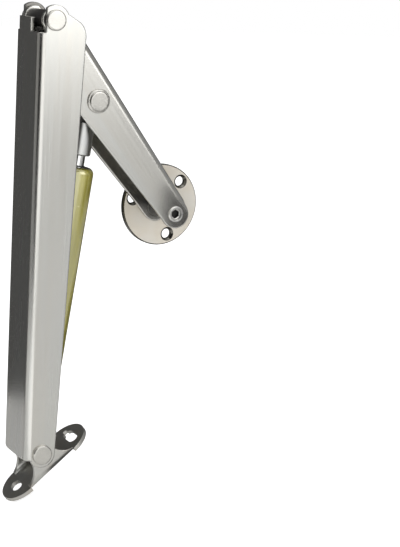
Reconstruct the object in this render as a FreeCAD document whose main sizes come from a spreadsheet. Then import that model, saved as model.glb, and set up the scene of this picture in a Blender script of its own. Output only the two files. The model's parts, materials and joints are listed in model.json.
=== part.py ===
import FreeCAD
import Part
import Sketcher
import math
import os

# Lid stay with a gas strut. Frame: the origin is the centre of the wall face of the round cabinet
# plate. +X points away from the long arm, +Y into the cabinet wall, +Z up. Every pivot runs along Y.

# Driving sizes, in millimetres and degrees.
SIZES = [
    # Sheet metal common to both arms and the bracket
    ("sheet_wall", 1.8, "wall of the pressed arms and of the bracket"),
    ("bend_radius", 3.4, "outer radius of every bend"),
    ("arm_gap", 0.5, "gap between a flange and the flange it nests in"),
    ("running_gap", 0.05, "clearance of a pin in the hole it turns in, and of a washer"),
    # Rest pose
    ("fold_angle", 36.5, "angle between the two arms"),
    ("bracket_angle", 39.5, "tilt of the door bracket"),
    # Long arm
    ("arm_width", 26.5, "outside width over the flanges"),
    ("arm_reach", 190.8, "top pivot to bottom pivot, along the web"),
    ("arm_foot_offset", 0.7, "bottom pivot to the top pivot, across the web"),
    ("arm_back", 7.4, "top pivot to the outside of the web"),
    ("arm_depth_high", 14.6, "top pivot to the free edge of the flange"),
    ("arm_depth_low", 6.8, "the same at the bottom pivot"),
    ("arm_lobe", 6.4, "radius of the flange round the top pivot"),
    ("arm_foot_lobe", 6.1, "radius of the flange round the bottom pivot"),
    ("shoulder_drop", 2.4, "top pivot down to the corner of the shoulder"),
    ("shoulder_slope", 30, "slope of the shoulder"),
    ("shoulder_radius", 7.5, "rounding of that corner"),
    ("notch_drop", 5.3, "top pivot down to the floor of the notches"),
    ("tab_rise", 0.6, "top pivot up to the end of the web's tab"),
    ("tab_near", 3.7, "mid-plane to the near side of the tab"),
    ("tab_far", 8.9, "mid-plane to the far side of the tab"),
    ("web_foot", 2.6, "bottom pivot down to the end of the web"),
    ("web_corner", 6, "rounding of the far corner of the web's end"),
    ("relief_width", 1.4, "width of the slit that ends the near bend"),
    ("relief_height", 1.4, "height of that slit"),
    # Short arm
    ("short_reach", 105.4, "top pivot to cabinet pivot"),
    ("short_back", 7.6, "line of pivots to the outside of the web"),
    ("short_edge_high", 14.5, "line of pivots to the free edge at its deepest point"),
    ("short_edge_start", 20, "top pivot to that deepest point"),
    ("short_edge_low", 6.9, "line of pivots to the free edge near the cabinet pivot"),
    ("short_edge_end", 7.4, "cabinet pivot back to where that depth is measured"),
    ("short_lobe", 5, "radius of the flange round the top pivot"),
    ("short_foot_lobe", 6.5, "radius of the flange round the cabinet pivot"),
    ("short_web_start", 5.5, "top pivot to the start of the web"),
    ("lobe_meet", 37, "angle round the top pivot at which the round end gives way to the web's edge"),
    ("short_web_end", 1.9, "cabinet pivot back to the end of the web"),
    ("short_foot_back", 6.9, "line of pivots to the flange's edge past the web"),
    ("short_corner", 5, "rounding of the deepest corner"),
    ("strut_reach", 40.5, "top pivot to the strut's pivot, along the short arm"),
    ("strut_offset", 2.4, "strut's pivot off the line of pivots"),
    # Rivets of the arms
    ("rivet_radius", 3, "shank of the top and bottom rivets"),
    ("rivet_head", 4.4, "radius of a rivet's head"),
    ("rivet_rise", 1.4, "height of a rivet's head"),
    ("rivet_edge", 0.4, "bevel of a head"),
    ("washer_radius", 4.6, "washers between the flanges"),
    ("sleeve_wall", 0.8, "wall of the sleeve on the top rivet"),
    # Strut's pivot
    ("stub_radius", 2.5, "shank of the two stub rivets"),
    ("stub_inner_head", 3.6, "radius of their inner heads"),
    ("stub_inner_rise", 1, "height of their inner heads"),
    ("collar_radius", 5.3, "raised ring under each outer head"),
    ("collar_height", 0.8, "height of that ring"),
    ("stub_rise", 0.9, "height of an outer head above its ring"),
    ("strut_pin_radius", 2.6, "pin through the rod's eye"),
    ("strut_pin_gap", 0.35, "gap between that pin and each stub rivet"),
    ("eye_bush_wall", 0.7, "wall of the bushes in both eyes"),
    # Cabinet plate and its pivot
    ("plate_radius", 19, "round plate"),
    ("plate_thickness", 2.5, "its thickness"),
    ("plate_edge", 0.5, "bevel of its front edge"),
    ("pitch_radius", 14.6, "circle of the three screw holes"),
    ("screw_hole", 2.3, "radius of a screw hole"),
    ("screw_sink", 3.3, "radius of its countersink"),
    ("hole_turn", 47, "turn of the first hole above +X"),
    ("pivot_side", 4.2, "cabinet pivot to the plate's centre, across"),
    ("pivot_below", 0.3, "cabinet pivot under the plate's centre"),
    ("plate_standoff", 1.95, "plate to the short arm's far flange"),
    ("hub_radius", 6, "collar of the hub"),
    ("hub_foot", 4.5, "hub's foot, set into the plate"),
    ("journal_radius", 4, "journal that the short arm turns on"),
    ("journal_lip", 0.1, "journal beyond the flange it carries"),
    ("screw_shank", 2.8, "radius of the pivot screw"),
    ("screw_head", 3.6, "radius of its head"),
    ("screw_rise", 0.6, "height of its head"),
    ("screw_edge", 0.3, "bevel of its head"),
    ("dish_radius", 2.7, "dish in the head, at its rim"),
    ("dish_floor", 2.3, "the same at its floor"),
    ("dish_depth", 1.1, "depth of the dish"),
    ("socket_flats", 3.6, "key size of the socket in that floor"),
    ("socket_depth", 2, "depth of the socket"),
    ("screw_grip", 4.5, "length of the screw inside the hub"),
    # Door bracket
    ("axis_height", 11.8, "bottom pivot to the face that meets the door"),
    ("bracket_bend", 4, "outer radius of the bracket's two bends"),
    ("ear_overhang", 0.05, "base beyond the cheeks, on each side"),
    ("ear_reach", 12.7, "bottom pivot to the centre of a round end"),
    ("ear_hole_reach", 16.5, "bottom pivot to the screw slots, along the base"),
    ("ear_slot_width", 4.8, "width of both screw slots"),
    ("ear_slot_length", 7.4, "length of the plain slot"),
    ("key_slot_length", 10.4, "length of the other slot"),
    ("key_slot_shift", 0.5, "how far its middle is off the line of the pivot"),
    ("key_notch_width", 2, "its narrow end"),
    ("key_notch_length", 1.7, "how far that end reaches"),
    ("cheek_lobe", 5.7, "radius of a cheek round the bottom pivot"),
    ("cheek_foot", 12.8, "half length of a cheek at the base"),
    ("cheek_sweep", 10, "radius of its hollow flanks"),
    # Gas strut
    ("tube_radius", 7.75, "strut's tube"),
    ("tube_wall", 1, "its wall"),
    ("tube_start", 17, "bottom pivot to the foot of the tube"),
    ("tube_top_gap", 30, "strut's pivot to the top of the tube"),
    ("tube_shoulder", 2.8, "rounding of the rolled shoulder"),
    ("rod_radius", 3, "piston rod"),
    ("rod_gap", 0.1, "clearance of the rod in its guide"),
    ("mouth_gap", 0.7, "rod to the mouth of the tube"),
    ("guide_length", 9, "guide bush at the top of the tube"),
    ("seal_length", 3, "lip seal under it"),
    ("piston_length", 6, "piston"),
    ("piston_gap", 0.25, "piston to the tube"),
    ("piston_reach", 88, "strut's pivot to the top of the piston"),
    ("rod_tail", 2, "rod beyond the piston"),
    ("rod_eye_radius", 5, "round fitting on the end of the rod"),
    ("rod_eye_length", 25, "strut's pivot to the foot of that fitting"),
    ("rod_eye_thickness", 5.8, "over its flats"),
    ("rod_eye_flats", 10.5, "strut's pivot to the end of the flats"),
    ("rod_eye_edge", 0.5, "chamfer of its foot"),
    ("rod_thread", 9, "length of the rod's thinner end, inside the fitting"),
    ("rod_thread_radius", 2.3, "its radius"),
    ("foot_eye_radius", 5.4, "eye at the foot of the strut"),
    ("foot_eye_thickness", 7, "its thickness"),
    ("foot_eye_neck", 2, "taper from that eye to the stud"),
    ("foot_stud_radius", 3, "stud between that eye and the tube"),
    ("foot_nut_flats", 10, "key size of the lock nut on the stud"),
    ("foot_nut_height", 3.2, "height of that nut"),
]

doc = FreeCAD.newDocument("LidStay")
sheet = doc.addObject("Spreadsheet::Sheet", "Sizes")
for row, (alias, number, note) in enumerate(SIZES, start=1):
    sheet.set(f"A{row}", note)
    sheet.set(f"B{row}", str(number))
    sheet.setAlias(f"B{row}", alias)
doc.recompute()

ALIASES = [alias for alias, number, note in SIZES]
Y_AXIS = FreeCAD.Vector(0, 1, 0)
X_AXIS = FreeCAD.Vector(1, 0, 0)
Z_AXIS = FreeCAD.Vector(0, 0, 1)
NEAR = 1e-4
# How far a cut or a blank reaches past what it has to cross
SPARE = 1


def bound(text):
    """Turn the plain names in a formula into references to the sheet."""
    words = []
    word = ""
    for letter in text + " ":
        if letter.isalnum() or letter == "_":
            word += letter
            continue
        words.append(f"Sizes.{word}" if word in ALIASES else word)
        words.append(letter)
        word = ""
    return "".join(words).strip()


def number(text):
    """Value of a formula as the sheet gives it."""
    result = sheet.evalExpression(text)
    return float(getattr(result, "Value", result))


# Places that several pieces share, each as one formula
PIVOT_X = "(-pivot_side)"
PIVOT_Z = "(-pivot_below)"
ARM_HALF = "(arm_width / 2)"
SHORT_HALF = "(arm_width / 2 - sheet_wall - arm_gap)"
SHORT_INNER = "(arm_width / 2 - 2 * sheet_wall - arm_gap)"
EAR_RADIUS = f"({SHORT_HALF} + ear_overhang)"
MID_Y = f"(-plate_thickness - plate_standoff - {SHORT_HALF})"
SINE = "sin(fold_angle * 1 deg)"
COSINE = "cos(fold_angle * 1 deg)"
TOP_X = f"({PIVOT_X} - short_reach * {SINE})"
TOP_Z = f"({PIVOT_Z} + short_reach * {COSINE})"
FOOT_X = f"({TOP_X} + arm_foot_offset)"
FOOT_Z = f"({TOP_Z} - arm_reach)"
STRUT_X = f"({TOP_X} + strut_reach * {SINE} - strut_offset * {COSINE})"
STRUT_Z = f"({TOP_Z} - strut_reach * {COSINE} - strut_offset * {SINE})"
STRUT_LENGTH = f"sqrt(({STRUT_X} - {FOOT_X}) ^ 2 + ({STRUT_Z} - {FOOT_Z}) ^ 2)"
STRUT_TILT = f"atan(({STRUT_X} - {FOOT_X}) / ({STRUT_Z} - {FOOT_Z}))"
TUBE_TOP = f"({STRUT_LENGTH} - tube_top_gap)"


def place(piece, x_place, z_place, turn="0 deg", y_place=MID_Y):
    """Put a piece at a pivot, turned about the Y axis from +X towards +Z."""
    piece.Placement = FreeCAD.Placement(FreeCAD.Vector(), FreeCAD.Rotation(-Y_AXIS, 1))
    piece.setExpression("Placement.Base.x", bound(x_place))
    piece.setExpression("Placement.Base.y", bound(y_place))
    piece.setExpression("Placement.Base.z", bound(z_place))
    piece.setExpression("Placement.Rotation.Angle", bound(turn))


def at_top(piece):
    place(piece, TOP_X, TOP_Z)


def on_short_arm(piece):
    place(piece, TOP_X, TOP_Z, "fold_angle * 1 deg")


def at_foot(piece):
    place(piece, FOOT_X, FOOT_Z)


def on_bracket(piece):
    place(piece, FOOT_X, FOOT_Z, "bracket_angle * 1 deg")


def along_strut(piece):
    place(piece, FOOT_X, FOOT_Z, f"-({STRUT_TILT})")


def at_strut_pivot(piece):
    place(piece, STRUT_X, STRUT_Z, f"-({STRUT_TILT})")


def at_cabinet_pivot(piece):
    place(piece, PIVOT_X, PIVOT_Z)


def new_body(name):
    return doc.addObject("PartDesign::Body", name)


def new_sketch(body, role, offset="0"):
    """Empty sketch on one of the body's own planes, moved along the plane's normal by a formula."""
    drawing = body.newObject("Sketcher::SketchObject", body.Name + "_sketch")
    planes = [item for item in body.Origin.OriginFeatures if item.Role == role]
    drawing.AttachmentSupport = [(planes[0], "")]
    drawing.MapMode = "FlatFace"
    drawing.setExpression("AttachmentOffset.Base.z", bound(offset))
    return drawing


def bind(drawing, kind, places, formula):
    """Add one dimension to a sketch and hold it to a formula."""
    rule = drawing.addConstraint(Sketcher.Constraint(kind, *places, number(formula)))
    drawing.setExpression(f"Constraints[{rule}]", bound(formula))


def outline(body, role, corners, offset="0"):
    """Closed outline, each corner held by two formulas. After a corner with a third formula comes an
    arc of that radius, bulging to the right of the way round."""
    drawing = new_sketch(body, role, offset)
    points = [FreeCAD.Vector(number(corner[0]), number(corner[1]), 0) for corner in corners]
    count = len(points)
    arcs = []
    for index, corner in enumerate(corners):
        start = points[index]
        end = points[(index + 1) % count]
        if len(corner) == 2:
            drawing.addGeometry(Part.LineSegment(start, end), False)
            arcs.append(False)
            continue
        radius = number(corner[2])
        half = (end - start) / 2
        side = FreeCAD.Vector(half.y, -half.x, 0).normalize()
        rise = radius - math.sqrt(radius ** 2 - half.Length ** 2)
        middle = start + half + side * rise
        drawing.addGeometry(Part.Arc(start, middle, end), False)
        arc = drawing.Geometry[index]
        arcs.append((arc.StartPoint - start).Length > (arc.EndPoint - start).Length)
    for index, corner in enumerate(corners):
        # A sketch keeps every arc anticlockwise, so one drawn the other way has its ends swapped
        following = (index + 1) % count
        end_place = (index, 1 if arcs[index] else 2)
        start_place = (following, 2 if arcs[following] else 1)
        drawing.addConstraint(Sketcher.Constraint("Coincident", *end_place, *start_place))
    for index, corner in enumerate(corners):
        start_place = (index, 2 if arcs[index] else 1)
        bind(drawing, "DistanceX", start_place, corner[0])
        bind(drawing, "DistanceY", start_place, corner[1])
        if len(corner) == 3:
            bind(drawing, "Radius", (index,), corner[2])
    return drawing


def rings(body, role, circles, offset="0"):
    """Circles, each given by formulas for its centre and radius."""
    drawing = new_sketch(body, role, offset)
    for index, (across, up, radius) in enumerate(circles):
        centre = FreeCAD.Vector(number(across), number(up), 0)
        drawing.addGeometry(Part.Circle(centre, Z_AXIS, number(radius)), False)
        bind(drawing, "Radius", (index,), radius)
        bind(drawing, "DistanceX", (index, 3), across)
        bind(drawing, "DistanceY", (index, 3), up)
    return drawing


def pad(body, drawing, length, both_ways=True):
    feature = body.newObject("PartDesign::Pad", body.Name + "_pad")
    feature.Profile = drawing
    feature.SideType = "Symmetric" if both_ways else "One side"
    feature.setExpression("Length", bound(length))
    doc.recompute()
    return feature


def pocket(body, drawing, length):
    """Cut half of the length to each side of the sketch, and make sure that it cut something."""
    before = body.Shape.Volume
    feature = body.newObject("PartDesign::Pocket", body.Name + "_pocket")
    feature.Profile = drawing
    feature.SideType = "Symmetric"
    feature.setExpression("Length", bound(length))
    doc.recompute()
    if body.Shape.Volume >= before:
        raise ValueError(f"{feature.Name} cuts nothing")
    return feature


def is_near(edge, direction, place_at):
    """Is this straight edge along the direction and through the place, leaving out None values?"""
    if edge.Curve.TypeId != "Part::GeomLine" or len(edge.Vertexes) < 2:
        return False
    along = (edge.Vertexes[1].Point - edge.Vertexes[0].Point).normalize()
    if abs(abs(along.dot(direction)) - 1) > NEAR:
        return False
    middle = edge.CenterOfMass
    return all(wanted is None or abs(wanted - value) < NEAR for wanted, value in zip(place_at, middle))


def round_edges(body, radius, direction, places):
    """Fillet the straight edges at the given places."""
    base = body.Tip
    names = [
        f"Edge{index}"
        for index, edge in enumerate(base.Shape.Edges, start=1)
        if any(is_near(edge, direction, place_at) for place_at in places)
    ]
    feature = body.newObject("PartDesign::Fillet", body.Name + "_fillet")
    feature.Base = (base, names)
    feature.setExpression("Radius", bound(radius))
    doc.recompute()
    return feature


def turned(label, corners, role="XY_Plane"):
    """Turned piece: radius and place along the axis for each corner. XY_Plane turns about Y, XZ_Plane
    about Z."""
    body = new_body(label)
    drawing = outline(body, role, corners)
    feature = body.newObject("PartDesign::Revolution", label + "_turn")
    feature.Profile = drawing
    feature.ReferenceAxis = (drawing, ["V_Axis"])
    feature.Angle = 360
    doc.recompute()
    body.Label = label
    return body


def dress_rims(body, kind, size, rims):
    """Fillet or chamfer the round edges given by radius and place along the turning axis."""
    base = body.Tip
    names = []
    for index, edge in enumerate(base.Shape.Edges, start=1):
        if edge.Curve.TypeId != "Part::GeomCircle":
            continue
        centre = edge.Curve.Center
        along = centre.y + centre.z
        for rim_radius, rim_place in rims:
            if abs(edge.Curve.Radius - number(rim_radius)) < NEAR and abs(along - number(rim_place)) < NEAR:
                names.append(f"Edge{index}")
    feature = body.newObject("PartDesign::" + kind, body.Name + "_rims")
    feature.Base = (base, names)
    feature.setExpression("Radius" if kind == "Fillet" else "Size", bound(size))
    doc.recompute()
    return feature


def round_rims(body, radius, rims):
    return dress_rims(body, "Fillet", radius, rims)


def bevel_rims(body, size, rims):
    return dress_rims(body, "Chamfer", size, rims)


def channel(name, back, half, depth, low, high):
    """U-shaped pressing along Z, its web at x = back and its flanges out to x = depth."""
    wall_step = "sheet_wall" if number(depth) > number(back) else "-sheet_wall"
    body = new_body(name)
    drawing = outline(body, "XY_Plane", [
        (back, f"-{half}"), (depth, f"-{half}"),
        (depth, f"-{half} + sheet_wall"), (f"{back} + {wall_step}", f"-{half} + sheet_wall"),
        (f"{back} + {wall_step}", f"{half} - sheet_wall"), (depth, f"{half} - sheet_wall"),
        (depth, half), (back, half),
    ], low)
    pad(body, drawing, f"{high} - ({low})", both_ways=False)
    outer = number(half)
    inner = outer - number("sheet_wall")
    back_at = number(back)
    inner_back = number(f"{back} + {wall_step}")
    round_edges(body, "bend_radius", Z_AXIS, [(back_at, side * outer, None) for side in (-1, 1)])
    inner_bends = [(inner_back, side * inner, None) for side in (-1, 1)]
    round_edges(body, "bend_radius - sheet_wall", Z_AXIS, inner_bends)
    return body


def trimmed(label, pressing, side_view):
    """What is left of the pressing inside its side view."""
    piece = doc.addObject("Part::Common", label)
    piece.Base = pressing
    piece.Tool = side_view
    piece.Label = label
    doc.recompute()
    return piece


def make_long_arm():
    top = f"arm_lobe + {SPARE}"
    low = f"-arm_reach - arm_foot_lobe - {SPARE}"
    depth = f"arm_depth_high + {SPARE}"
    pressing = channel("long_arm_channel", "-arm_back", ARM_HALF, depth, low, top)
    # The tab stands between two notches that clear the short arm's lobes
    clear = f"({ARM_HALF} + {SPARE})"
    head_cut = outline(pressing, "YZ_Plane", [
        (f"-{clear}", "-notch_drop"), ("-tab_near", "-notch_drop"), ("-tab_near", "tab_rise"),
        ("tab_far", "tab_rise"), ("tab_far", "-notch_drop"), (clear, "-notch_drop"),
        (clear, f"{top} + {SPARE}"), (f"-{clear}", f"{top} + {SPARE}"),
    ], "-arm_back")
    pocket(pressing, head_cut, "2 * bend_radius")
    # The web ends above the lobes of the flanges, with a slit at the near bend
    foot = "(-arm_reach - web_foot)"
    slit_near = f"(bend_radius - {ARM_HALF})"
    foot_cut = outline(pressing, "YZ_Plane", [
        (f"-{clear}", foot), (f"{slit_near} - relief_width / 2", foot),
        (f"{slit_near} - relief_width / 2", f"{foot} + relief_height"),
        (f"{slit_near} + relief_width / 2", f"{foot} + relief_height"),
        (f"{slit_near} + relief_width / 2", foot),
        (f"{ARM_HALF} - web_corner", foot, "web_corner"), (ARM_HALF, f"{foot} + web_corner"),
        (clear, f"{foot} + web_corner"),
        (clear, f"{low} - {SPARE}"), (f"-{clear}", f"{low} - {SPARE}"),
    ], "-arm_back")
    pocket(pressing, foot_cut, "2 * bend_radius")

    side = new_body("long_arm_side")
    rise = "tan(shoulder_slope * 1 deg)"
    edge_at_shoulder = "(arm_depth_high + (arm_depth_low - arm_depth_high) * shoulder_drop / arm_reach)"
    outer_left = f"(-arm_back - {SPARE})"
    wide = f"arm_width + {2 * SPARE}"
    edge = outline(side, "XZ_Plane", [
        (outer_left, "-arm_reach - web_foot"),
        ("arm_foot_offset", "-arm_reach - web_foot"),
        ("arm_foot_offset + arm_foot_lobe", "-arm_reach"),
        (edge_at_shoulder, "-shoulder_drop"),
        ("0", f"-shoulder_drop + {edge_at_shoulder} * {rise}"),
        ("0", "tab_rise"), (outer_left, "tab_rise"),
    ])
    pad(side, edge, wide)
    round_edges(side, "shoulder_radius", Y_AXIS, [(number(edge_at_shoulder), None, -number("shoulder_drop"))])
    pad(side, rings(side, "XZ_Plane", [("arm_foot_offset", "-arm_reach", "arm_foot_lobe")]), wide)
    pad(side, rings(side, "XZ_Plane", [("0", "0", "arm_lobe")]), wide)
    pocket(side, rings(side, "XZ_Plane", [
        ("0", "0", "rivet_radius"), ("arm_foot_offset", "-arm_reach", "rivet_radius"),
    ]), wide)
    at_top(trimmed("long_arm", pressing, side))


def make_short_arm():
    low = f"-short_reach - short_foot_lobe - {SPARE}"
    top = f"short_lobe + {SPARE}"
    depth = f"-short_edge_high - {SPARE}"
    pressing = channel("short_arm_channel", "short_back", SHORT_HALF, depth, low, top)
    # The web starts below the top pivot, and at its other end stops between the two bends
    clear = f"({SHORT_HALF} + {SPARE})"
    between = f"({SHORT_HALF} - bend_radius)"
    web_end = "short_web_end - short_reach"
    for reach, web_edge, beyond in (
        (clear, "-short_web_start", f"{top} + {SPARE}"), (between, web_end, f"{low} - {SPARE}"),
    ):
        cut = outline(pressing, "YZ_Plane", [
            (f"-{reach}", web_edge), (reach, web_edge), (reach, beyond), (f"-{reach}", beyond),
        ], "short_back")
        pocket(pressing, cut, "2 * bend_radius")

    side = new_body("short_arm_side")
    outer_right = f"short_back + {SPARE}"
    edge = outline(side, "XZ_Plane", [
        ("-short_lobe", "0"), ("0", "short_lobe"),
        ("short_lobe * cos(lobe_meet * 1 deg)", "short_lobe * sin(lobe_meet * 1 deg)"),
        (outer_right, "-short_web_start"), (outer_right, web_end), ("short_foot_back", web_end),
        ("short_foot_lobe", "-short_reach"), ("-short_foot_lobe", "-short_reach"),
        ("-short_edge_low", "short_edge_end - short_reach"), ("-short_edge_high", "-short_edge_start"),
    ])
    pad(side, edge, "arm_width")
    corner = (-number("short_edge_high"), None, -number("short_edge_start"))
    round_edges(side, "short_corner", Y_AXIS, [corner])
    for height, radius in (("0", "short_lobe"), ("-short_reach", "short_foot_lobe")):
        pad(side, rings(side, "XZ_Plane", [("0", height, radius)]), "arm_width")
    pocket(side, rings(side, "XZ_Plane", [
        ("0", "0", "rivet_radius + running_gap"),
        ("-strut_offset", "-strut_reach", "stub_radius"),
        ("0", "-short_reach", "screw_shank + running_gap"),
    ]), "arm_width")
    # Only the far flange turns on the journal, so its hole is larger
    journal = ("0", "-short_reach", "journal_radius + running_gap")
    pocket(side, rings(side, "XZ_Plane", [journal], f"-{SHORT_HALF}"), f"2 * (sheet_wall + {SPARE})")
    on_short_arm(trimmed("short_arm", pressing, side))


def make_door_bracket():
    bottom = "(-axis_height)"
    floor = f"({bottom} + sheet_wall)"
    top = f"cheek_lobe + {SPARE}"
    body = new_body("bracket_fold")
    fold = outline(body, "YZ_Plane", [
        (f"-{SHORT_HALF}", bottom), (SHORT_HALF, bottom), (SHORT_HALF, top), (SHORT_INNER, top),
        (SHORT_INNER, floor), (f"-{SHORT_INNER}", floor), (f"-{SHORT_INNER}", top), (f"-{SHORT_HALF}", top),
    ])
    pad(body, fold, "2 * cheek_foot")
    outer = number(SHORT_HALF)
    inner = number(SHORT_INNER)
    round_edges(body, "bracket_bend", X_AXIS, [(None, side * outer, number(bottom)) for side in (-1, 1)])
    inner_bends = [(None, side * inner, number(floor)) for side in (-1, 1)]
    round_edges(body, "bracket_bend - sheet_wall", X_AXIS, inner_bends)

    side = new_body("bracket_side")
    edge = outline(side, "XZ_Plane", [
        ("-cheek_foot", f"{bottom} - {SPARE}"), ("cheek_foot", f"{bottom} - {SPARE}"),
        ("cheek_foot", "0"), ("-cheek_foot", "0"),
    ])
    pad(side, edge, "arm_width")
    pad(side, rings(side, "XZ_Plane", [("0", "0", "cheek_lobe")]), "arm_width")
    pocket(side, rings(side, "XZ_Plane", [
        ("-cheek_lobe - cheek_sweep", "0", "cheek_sweep"), ("cheek_lobe + cheek_sweep", "0", "cheek_sweep"),
    ]), "arm_width")
    pocket(side, rings(side, "XZ_Plane", [("0", "0", "rivet_radius + running_gap")]), "arm_width")
    saddle = trimmed("bracket_saddle", body, side)

    base = new_body("bracket_base")
    straight = outline(base, "XY_Plane", [
        ("-ear_reach", f"-{EAR_RADIUS}"), ("ear_reach", f"-{EAR_RADIUS}"),
        ("ear_reach", EAR_RADIUS), ("-ear_reach", EAR_RADIUS),
    ], bottom)
    pad(base, straight, "sheet_wall", both_ways=False)
    for ear in ("-ear_reach", "ear_reach"):
        pad(base, rings(base, "XY_Plane", [(ear, "0", EAR_RADIUS)], bottom), "sheet_wall", both_ways=False)
    # Under the cheeks the bends take the place of the plain edge
    for sign in ("-", ""):
        strip = outline(base, "XY_Plane", [
            ("-cheek_foot", f"{sign}({SHORT_HALF} - bracket_bend)"),
            ("cheek_foot", f"{sign}({SHORT_HALF} - bracket_bend)"),
            ("cheek_foot", f"{sign}({EAR_RADIUS} + {SPARE})"),
            ("-cheek_foot", f"{sign}({EAR_RADIUS} + {SPARE})"),
        ], bottom)
        pocket(base, strip, "3 * sheet_wall")
    slots(base, bottom)
    joined = doc.addObject("Part::Fuse", "door_bracket")
    joined.Base = saddle
    joined.Tool = base
    joined.Refine = True
    joined.Label = "door_bracket"
    on_bracket(joined)


def slots(base, bottom):
    """One plain slot across the base, and one off the middle with a narrow end."""
    half_width = "ear_slot_width / 2"
    for reach, length, shift in (
        ("-ear_hole_reach", "ear_slot_length", "0"), ("ear_hole_reach", "key_slot_length", "key_slot_shift"),
    ):
        run = f"({length} - ear_slot_width) / 2"
        low = f"(-{shift} - {run})"
        high = f"(-{shift} + {run})"
        straight = outline(base, "XY_Plane", [
            (f"{reach} - {half_width}", low), (f"{reach} + {half_width}", low),
            (f"{reach} + {half_width}", high), (f"{reach} - {half_width}", high),
        ], bottom)
        pocket(base, straight, "3 * sheet_wall")
        for end in (low, high):
            pocket(base, rings(base, "XY_Plane", [(reach, end, half_width)], bottom), "3 * sheet_wall")
    tip = "(key_slot_length / 2 - key_slot_shift + key_notch_length)"
    narrow = outline(base, "XY_Plane", [
        ("ear_hole_reach - key_notch_width / 2", "0"), ("ear_hole_reach + key_notch_width / 2", "0"),
        ("ear_hole_reach + key_notch_width / 2", tip), ("ear_hole_reach - key_notch_width / 2", tip),
    ], bottom)
    pocket(base, narrow, "3 * sheet_wall")


def hexagon(flats, start):
    """Corners of a hexagon of this key size, the first one at the start angle."""
    turns = [f"{start + 60 * step} deg" for step in range(6)]
    return [(f"{flats} / sqrt(3) * cos({turn})", f"{flats} / sqrt(3) * sin({turn})") for turn in turns]


def make_rivet(label, placing):
    """Rivet right through the long arm, with a low head on each flange."""
    head = f"({ARM_HALF} + rivet_rise)"
    piece = turned(label, [
        ("0", f"-{head}"), ("rivet_head", f"-{head}"),
        ("rivet_head", f"-{ARM_HALF}"), ("rivet_radius", f"-{ARM_HALF}"),
        ("rivet_radius", ARM_HALF), ("rivet_head", ARM_HALF), ("rivet_head", head), ("0", head),
    ])
    bevel_rims(piece, "rivet_edge", [("rivet_head", f"-{head}"), ("rivet_head", head)])
    placing(piece)


def tube_on_pin(label, inner, outer, ends, placing):
    """Washer, sleeve or bush round a pin, from one end to the other along Y."""
    low, high = ends
    placing(turned(label, [(inner, low), (outer, low), (outer, high), (inner, high)]))


def make_flange_washers(prefix, placing):
    """Washers that fill the gap between nested flanges, one on each side."""
    for name, sign in (("near", "-"), ("far", "")):
        ends = (f"{sign}({SHORT_HALF} + running_gap)", f"{sign}({SHORT_HALF} + arm_gap)")
        tube_on_pin(f"{prefix}_washer_{name}", "rivet_radius", "washer_radius", ends, placing)


def make_top_pivot():
    make_rivet("top_rivet", at_top)
    make_flange_washers("top", at_top)
    end = f"({SHORT_INNER} - running_gap)"
    tube_on_pin("top_sleeve", "rivet_radius", "rivet_radius + sleeve_wall", (f"-{end}", end), at_top)


def make_bottom_pivot():
    make_rivet("bottom_rivet", at_foot)
    make_flange_washers("bottom", at_foot)


def make_strut_pivot():
    """Stub rivets in the short arm, and the pin and bush that ride with the rod's eye."""
    for name, sign in (("near", "-"), ("far", "")):
        face = f"{sign}{SHORT_HALF}"
        ring_face = f"{sign}({SHORT_HALF} + collar_height)"
        head_face = f"{sign}({SHORT_HALF} + collar_height + stub_rise)"
        inner_face = f"{sign}{SHORT_INNER}"
        inner_end = f"{sign}({SHORT_INNER} - stub_inner_rise)"
        stub = turned(f"strut_rivet_{name}", [
            ("0", inner_end), ("stub_inner_head", inner_end), ("stub_inner_head", inner_face),
            ("stub_radius", inner_face), ("stub_radius", face), ("collar_radius", face),
            ("collar_radius", ring_face), ("rivet_head", ring_face), ("rivet_head", head_face),
            ("0", head_face),
        ])
        bevel_rims(stub, "rivet_edge", [("rivet_head", head_face), ("collar_radius", ring_face)])
        place(stub, STRUT_X, STRUT_Z)
    pin_end = f"({SHORT_INNER} - stub_inner_rise - strut_pin_gap)"
    pin = turned("strut_pin", [
        ("0", f"-{pin_end}"), ("strut_pin_radius", f"-{pin_end}"),
        ("strut_pin_radius", pin_end), ("0", pin_end),
    ])
    at_strut_pivot(pin)
    bush = "strut_pin_radius + eye_bush_wall"
    tube_on_pin("strut_bush", "strut_pin_radius", bush, (f"-{pin_end}", pin_end), at_strut_pivot)


def eye_on_bar(label, bar, eye, flats, bar_end):
    """What is left of a turned bar when its end is milled to a flat eye, round about Y. The eye is given
    by its radius and thickness, and the flats and the bar by how far they reach along Z."""
    radius, thickness = eye
    side = new_body(label + "_side")
    pad(side, rings(side, "XZ_Plane", [("0", "0", radius)]), thickness)
    wide = f"({radius} + {SPARE})"
    for start, end, width in (("0", flats, thickness), (flats, bar_end, f"2 * {wide}")):
        corners = [(f"-{wide}", start), (wide, start), (wide, end), (f"-{wide}", end)]
        pad(side, outline(side, "XZ_Plane", corners), width)
    return trimmed(label, bar, side)


def make_rod_eye():
    """Round bar milled to an eye, bored across for the bush and along for the rod."""
    foot = "(-rod_eye_length)"
    bar = turned("rod_eye_bar", [
        ("0", foot), ("rod_eye_radius", foot), ("rod_eye_radius", "rod_eye_radius"), ("0", "rod_eye_radius"),
    ], "XZ_Plane")
    bevel_rims(bar, "rod_eye_edge", [("rod_eye_radius", foot)])
    cross_bore = ("0", "0", "strut_pin_radius + eye_bush_wall")
    pocket(bar, rings(bar, "XZ_Plane", [cross_bore]), f"2 * (rod_eye_radius + {SPARE})")
    pocket(bar, rings(bar, "XY_Plane", [("0", "0", "rod_thread_radius")], foot), "2 * rod_thread")
    eye = ("rod_eye_radius", "rod_eye_thickness")
    at_strut_pivot(eye_on_bar("rod_eye", bar, eye, "(-rod_eye_flats)", foot))


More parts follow.
